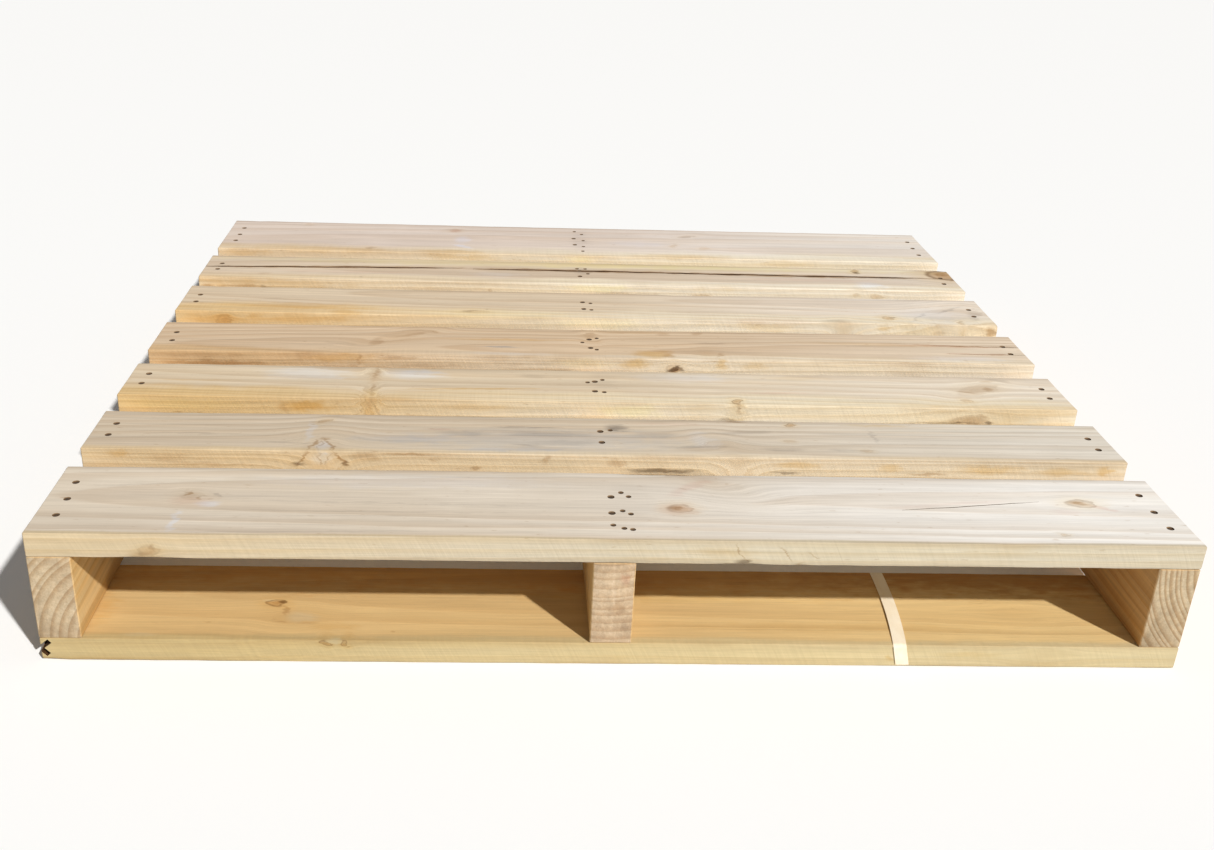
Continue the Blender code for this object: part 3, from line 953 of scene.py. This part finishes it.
def front_bottom_look():
    b = Board("bottom_board_front")
    b.knots((212, 65, 9, 6, 85), (232, 38, 20, 14, 14), (960, 60, 40, 14, 12))
    b.face_knots((268, 3, 4, 3, 80), (289, 3, 4, 3, 80), (969, 12, 26, 10, 15))
    # Painted shade over the rear strip, which lies in the deck's shadow, deeper at the right.
    b.tops(UNDER_DECK_SHADE, (550, 132, 900, 56, 100))
    b.tops(DEEPER_SHADE_RIGHT, (980, 132, 330, 54, 90))
    b.tops(DARK, (216, 66, 5, 4, 80))
    b.tops(PALE, (206, 69, 9, 5, 100), (238, 40, 17, 13, 100), (90, 8, 20, 4, 50))
    b.tops(BROWN, (222, 52, 4, 12, 50, 20), (224, 32, 8, 3, 30), (246, 30, 10, 2.5, 30), (150, 30, 3, 3, 30),
        (330, 16, 3, 2, 40), (960, 100, 60, 5, 25, 10))
    b.tops(OCHRE, (270, 24, 26, 8, 30), (30, 60, 30, 60, 45), (760, 30, 200, 12, 22))
    b.tops(YELLOW, (600, 80, 200, 10, 30))
    b.faces(PALE, (278, 1, 24, 3, 80))
    b.faces(OCHRE, (815, 14, 6, 4, 50), (890, 10, 40, 5, 25))
    return b.look(**BOTTOM, seed=8.0, ring=0.012, pith=(0.02, -0.13), lean=(0.01, 0.012),
        arris=(0.0012, 0.0018, 0.001, 0.001),
        notches=(((8.5, 20.5), (0.0, 13.5), 4.8), ((-0.5, 14.0), (6.5, 6.5), 5.0)),
        wane=((1, 280, 30, 1.5), (2, 3, 16, 2.0)),
    )


def hidden_bottom_look(node, seed, pith, knot_right, knot_back):
    b = Board(node)
    b.knots((knot_right, knot_back, 15, 10, 80), (1100 - knot_right, 134 - knot_back, 8, 6, 60))
    b.tops(OCHRE, (400, 60, 200, 10, 30))
    return b.look(**BOTTOM, seed=seed, ring=0.01, pith=pith)


STRINGER = {
    "top": ((208, 178, 136), (208, 178, 136)), "side": ((212, 180, 128), (208, 176, 126)), "side_rings": 0.8,
    "streak": 0.13, "bend": 0.0006, "cup": 0.0, "mottle": 0.3, "arris": (0.0014, 0.0014, 0.0014, 0.0014),
    "wander": 0.006,
}
STRINGER_FRONT = -0.5
END_MARK_DEEP = 0.02


def end_marks(*rows):
    """Marks on a stringer's front end: (across, up, wide, high, tint, strength)."""
    made = []
    for across, up, wide, high, tint, strength in rows:
        made.append(((STRINGER_FRONT, across, up), (END_MARK_DEEP, wide, high), (0, 0, 0), tint, strength))
    return made


STRINGER_LOOKS = {
    "stringer_left": pine(
        **STRINGER, seed=11.0, ring=0.0088, pith=(-0.075, -0.048), lean=(0.004, 0.004),
        end=(198, 179, 149),
    ),
    "stringer_centre": pine(
        **(STRINGER | {"wander": 0.014}), seed=12.0, ring=0.0078, pith=(0.004, 0.105), lean=(0.003, 0.006),
        end=(197, 175, 146), end_rings=0.55,
        marks=end_marks(
            (0.0, 0.010, 0.0022, 0.060, BRIGHT, 1.0), (-0.011, 0.028, 0.007, 0.009, ROSE, 1.0),
            (-0.006, -0.004, 0.012, 0.010, BROWN, 0.4), (-0.012, -0.026, 0.006, 0.008, GREY, 0.5),
        ),
    ),
    # The right stringer's sides are darker and more orange than the others': painted shade, matched to its
    # inner face in the shade of the deck; the outer face carries the same tone.
    "stringer_right": pine(
        **(STRINGER | {"side": ((202, 160, 106), (196, 152, 98))}), seed=13.0, ring=0.0058,
        pith=(-0.110, 0.060), lean=(0.002, 0.008), end=(196, 178, 148), end_rings=1.0,
    ),
}
TOP_LOOKS = (
    board_1_look, board_2_look, board_3_look, board_4_look, board_5_look, board_6_look, board_7_look,
)
LOOKS = {
    **{f"top_board_{number}": made() for number, made in enumerate(TOP_LOOKS, 1)},
    "bottom_board_front": front_bottom_look(),
    "bottom_board_middle": hidden_bottom_look("bottom_board_middle", 9.0, (-0.04, -0.10), 740, 50),
    "bottom_board_rear": hidden_bottom_look("bottom_board_rear", 10.0, (0.05, -0.12), 360, 90),
    **STRINGER_LOOKS,
}


# ---- Nails


def node_middle(node):
    low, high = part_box(node)
    return (low + high) / 2


def nails_of(board):
    """The (x, y) of the CAD nails through a top board."""
    label = board.rsplit("_", 1)[1]
    spots = []
    for name in sorted(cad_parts):
        if name.startswith(f"nail_{label}_"):
            middle = node_middle(name)
            spots.append((middle.x, middle.y))
    return spots


# Further nails over the centre stringer: millimetres right of its left face, and behind the board's front.
EXTRA_NAILS = {
    "top_board_1": ((19, 28), (29, 22), (37, 20), (30, 56), (37.5, 50), (31, 93), (38, 85)),
    "top_board_2": ((30, 62),),
    "top_board_3": ((30, 66), (12, 58), (30, 30)),
    "top_board_4": ((31, 67), (12, 52), (29, 28)),
    "top_board_5": ((30, 60), (30, 34)),
    "top_board_6": ((18, 70), (30, 70), (33, 48)),
    "top_board_7": ((22, 126), (33, 112), (34, 79), (33, 48), (31, 24)),
}


def extra_nails(board):
    low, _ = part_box(board)
    stringer_low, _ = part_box("stringer_centre")
    rows = EXTRA_NAILS.get(board, ())
    return [(stringer_low.x + right / 1000, low.y + back / 1000) for right, back in rows]


def underside_nails(board):
    """Three nails at each stringer, driven up through a bottom board."""
    rng = random.Random(int(LOOKS[board]["seed"]))
    middle = node_middle(board)
    spots = []
    for stringer in ("stringer_left", "stringer_centre", "stringer_right"):
        for step in (-1, 0, 1):
            x = node_middle(stringer).x + rng.uniform(-BOTTOM_NAIL_SCATTER_X, BOTTOM_NAIL_SCATTER_X)
            aside = rng.uniform(-BOTTOM_NAIL_SCATTER_Y, BOTTOM_NAIL_SCATTER_Y)
            spots.append((x, middle.y + step * BOTTOM_NAIL_PITCH + aside))
    return spots


def head_mesh(name, spots, z, facing, scale):
    """Sunk nail heads, slightly domed, with a rounded rim."""
    bm = bmesh.new()
    rim = HEAD_THICKNESS * HEAD_RIM_SHARE
    radius = HEAD_RADIUS * scale
    crown = radius * HEAD_CROWN_SHARE
    profile = ((crown, HEAD_DOME), (radius - rim, 0.0), (radius, -rim), (radius, -HEAD_THICKNESS))
    for x, y in spots:
        lathe(bm, profile, x, y, z - facing * HEAD_SINK, facing)
    return finished_mesh(name, bm)


# ---- Pieces


def make_plank(node, nails, z, facing, crushed, cracked_and_shaded):
    """The visible plank for a CAD board or stringer, with its damage and dents at (spots, scale)."""
    low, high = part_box(node)
    size = high - low
    its_look = LOOKS[node]
    along_y = size.y > size.x * 4
    lengths = (size.y, size.x, size.z) if along_y else tuple(size)
    turn = math.pi / 2 if along_y else 0.0
    piece = add_object("wood_" + node, plank_mesh(node, lengths, its_look), (low + high) / 2, turn)
    piece.data.materials.append(wood("pine_" + node, its_look, lengths[0] / 2, lengths[1] / 2))
    bm = bmesh.new()
    for spots, scale in nails:
        dents(bm, spots, z, facing, scale)
    carve(piece, bm, crushed)
    for start, end, width, depth in its_look["splits"]:
        from_place, to_place = [(low.x + right / 1000, low.y + back / 1000) for right, back in (start, end)]
        bm = bmesh.new()
        split_cutter(bm, from_place, to_place, width / 1000, depth / 1000, high.z, its_look["seed"])
        carve(piece, bm, cracked_and_shaded)
    bm = bmesh.new()
    for start, end, thick in its_look["notches"]:
        notch_cutter(bm, low, start, end, thick)
    carve(piece, bm, cracked_and_shaded)
    piece.data.set_sharp_from_angle(angle=SHARP_ANGLE)
    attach(piece, "root")
    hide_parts(node)


def add_heads(name, spots, z, facing, scale, nail_steel):
    piece = add_object(name, head_mesh(name, spots, z, facing, scale))
    piece.data.materials.append(nail_steel)
    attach(piece, "root")


def make_woodwork():
    nail_steel = steel("nail_steel")
    crushed = torn_wood("crushed_wood", tone(112, 86, 60), tone(160, 134, 104))
    # Splits and notches get a near-black inside: the torn wood's colour with the shade of the deep cut
    # painted in.
    cracked_and_shaded = torn_wood("cracked_wood", tone(48, 30, 17), tone(92, 64, 38))
    nodes = sorted(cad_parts)
    for board in [name for name in nodes if name.startswith("top_board_")]:
        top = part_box(board)[1].z
        extra = extra_nails(board)
        make_plank(board, ((nails_of(board), 1.0), (extra, BRAD_SCALE)), top, 1, crushed, cracked_and_shaded)
        add_heads("heads_" + board, extra, top, 1, BRAD_SCALE, nail_steel)
    for board in [name for name in nodes if name.startswith("bottom_board_")]:
        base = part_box(board)[0].z
        spots = underside_nails(board)
        make_plank(board, ((spots, 1.0),), base, -1, crushed, cracked_and_shaded)
        add_heads("heads_" + board, spots, base, -1, 1.0, nail_steel)
    for stringer in STRINGER_LOOKS:
        make_plank(stringer, (), 0.0, 1, crushed, cracked_and_shaded)
    for name in nodes:
        if name.startswith("nail_"):
            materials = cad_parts[name].data.materials
            materials.clear()
            materials.append(nail_steel)


def strap_route(low, high):
    """(y, z) of the strap's middle line round the front bottom board, from its lower front bend up."""
    half = STRAP_THICKNESS / 2
    front, rear = low.y + half, high.y - half
    top, base = high.z - half, low.z + half
    radius = STRAP_BEND
    corners = (
        (front + radius, base + radius, 180), (front + radius, top - radius, 90),
        (rear - radius, top - radius, 0), (rear - radius, base + radius, 270),
    )
    route = []
    for index, (y, z, start) in enumerate(corners):
        for step in range(STRAP_BEND_STEPS + 1):
            angle = math.radians(start + 90 - 90 * step / STRAP_BEND_STEPS)
            route.append((y + radius * math.cos(angle), z + radius * math.sin(angle)))
        if index == 1:
            for step in range(1, STRAP_TOP_STEPS):
                share = step / STRAP_TOP_STEPS
                lift = STRAP_LIFT * math.sin(math.pi * share) * (1 - share)
                route.append((front + radius + (rear - front - 2 * radius) * share, top + lift))
    return route


def strap_sway(y, z, low, high):
    """How far right of its CAD place the strap lies: it leans left to the front and right going down."""
    back = (y - low.y) / (high.y - low.y)
    down = (high.z - z) / (high.z - low.z)
    return STRAP_LEAN * (1 - (1 - back) ** STRAP_CURL) - STRAP_NIP + down * STRAP_DROP_LEAN * (1 - back)


def make_strap():
    """A band of plastic strapping, a little slack, so that it sways and lifts off the board."""
    low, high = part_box("strap")
    middle = (low + high) / 2
    width = high.x - low.x
    route = strap_route(low, high)
    bm = bmesh.new()
    rings = []
    for index, (y, z) in enumerate(route):
        before, after = route[index - 1], route[(index + 1) % len(route)]
        along = Vector((after[0] - before[0], after[1] - before[1])).normalized()
        out = Vector((-along.y, along.x))
        sway = strap_sway(y, z, low, high)
        ring = []
        for side in (1, -1):
            for step in range(STRAP_WIDTH_STEPS + 1):
                across = side * (0.5 - step / STRAP_WIDTH_STEPS)
                offset = side * STRAP_THICKNESS / 2 + STRAP_CROWN * (1 - (2 * across) ** 2)
                x = middle.x + across * width + sway
                ring.append(bm.verts.new((x, y + out.x * offset, z + out.y * offset)))
        rings.append(ring)
    skin_rings(bm, rings, caps=False)
    mesh = finished_mesh("strapping", bm)
    mesh.materials.append(strapping("strapping"))
    piece = add_object("strapping", mesh)
    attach(piece, "root")
    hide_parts("strap")


# ---- Studio


def make_floor():
    mesh = bpy.data.meshes.new("floor")
    half = FLOOR_SIZE / 2
    corners = ((-half, -half, 0), (half, -half, 0), (half, half, 0), (-half, half, 0))
    mesh.from_pydata(corners, [], [(0, 1, 2, 3)])
    made, _, shader = new_material("floor")
    shader.inputs["Base Color"].default_value = FLOOR_COLOUR
    shader.inputs["Roughness"].default_value = FLOOR_ROUGHNESS
    mesh.materials.append(made)
    add_object("floor", mesh, (0, 0, -FLOOR_DROP))


def make_lights():
    sun = bpy.data.lights.new("key", "SUN")
    sun.energy = KEY_STRENGTH
    sun.angle = KEY_ANGLE
    sun.color = KEY_COLOUR
    made = add_object("key", sun)
    made.rotation_euler = (-KEY_FROM).to_track_quat("-Z", "Y").to_euler()
    world = bpy.data.worlds.new("studio")
    world.use_nodes = True
    background = world.node_tree.nodes["Background"]
    background.inputs["Color"].default_value = (*WORLD_COLOUR, 1.0)
    background.inputs["Strength"].default_value = WORLD_STRENGTH
    bpy.context.scene.world = world
    bpy.context.scene.view_settings.view_transform = "Standard"


def make_camera():
    camera = bpy.data.cameras.new("camera")
    camera.lens = CAMERA_LENS
    camera.sensor_width = CAMERA_SENSOR
    camera.shift_x, camera.shift_y = CAMERA_SHIFT
    made = add_object("camera", camera)
    heading = Matrix.Rotation(math.radians(-CAMERA_TURN), 4, "Z")
    tilt = Matrix.Rotation(math.radians(90 - CAMERA_TILT), 4, "X")
    roll = Matrix.Rotation(math.radians(CAMERA_ROLL), 4, "Z")
    made.matrix_world = Matrix.Translation(CAMERA_PLACE) @ heading @ tilt @ roll
    bpy.context.scene.camera = made


make_camera()
make_lights()
make_floor()
make_woodwork()
make_strap()
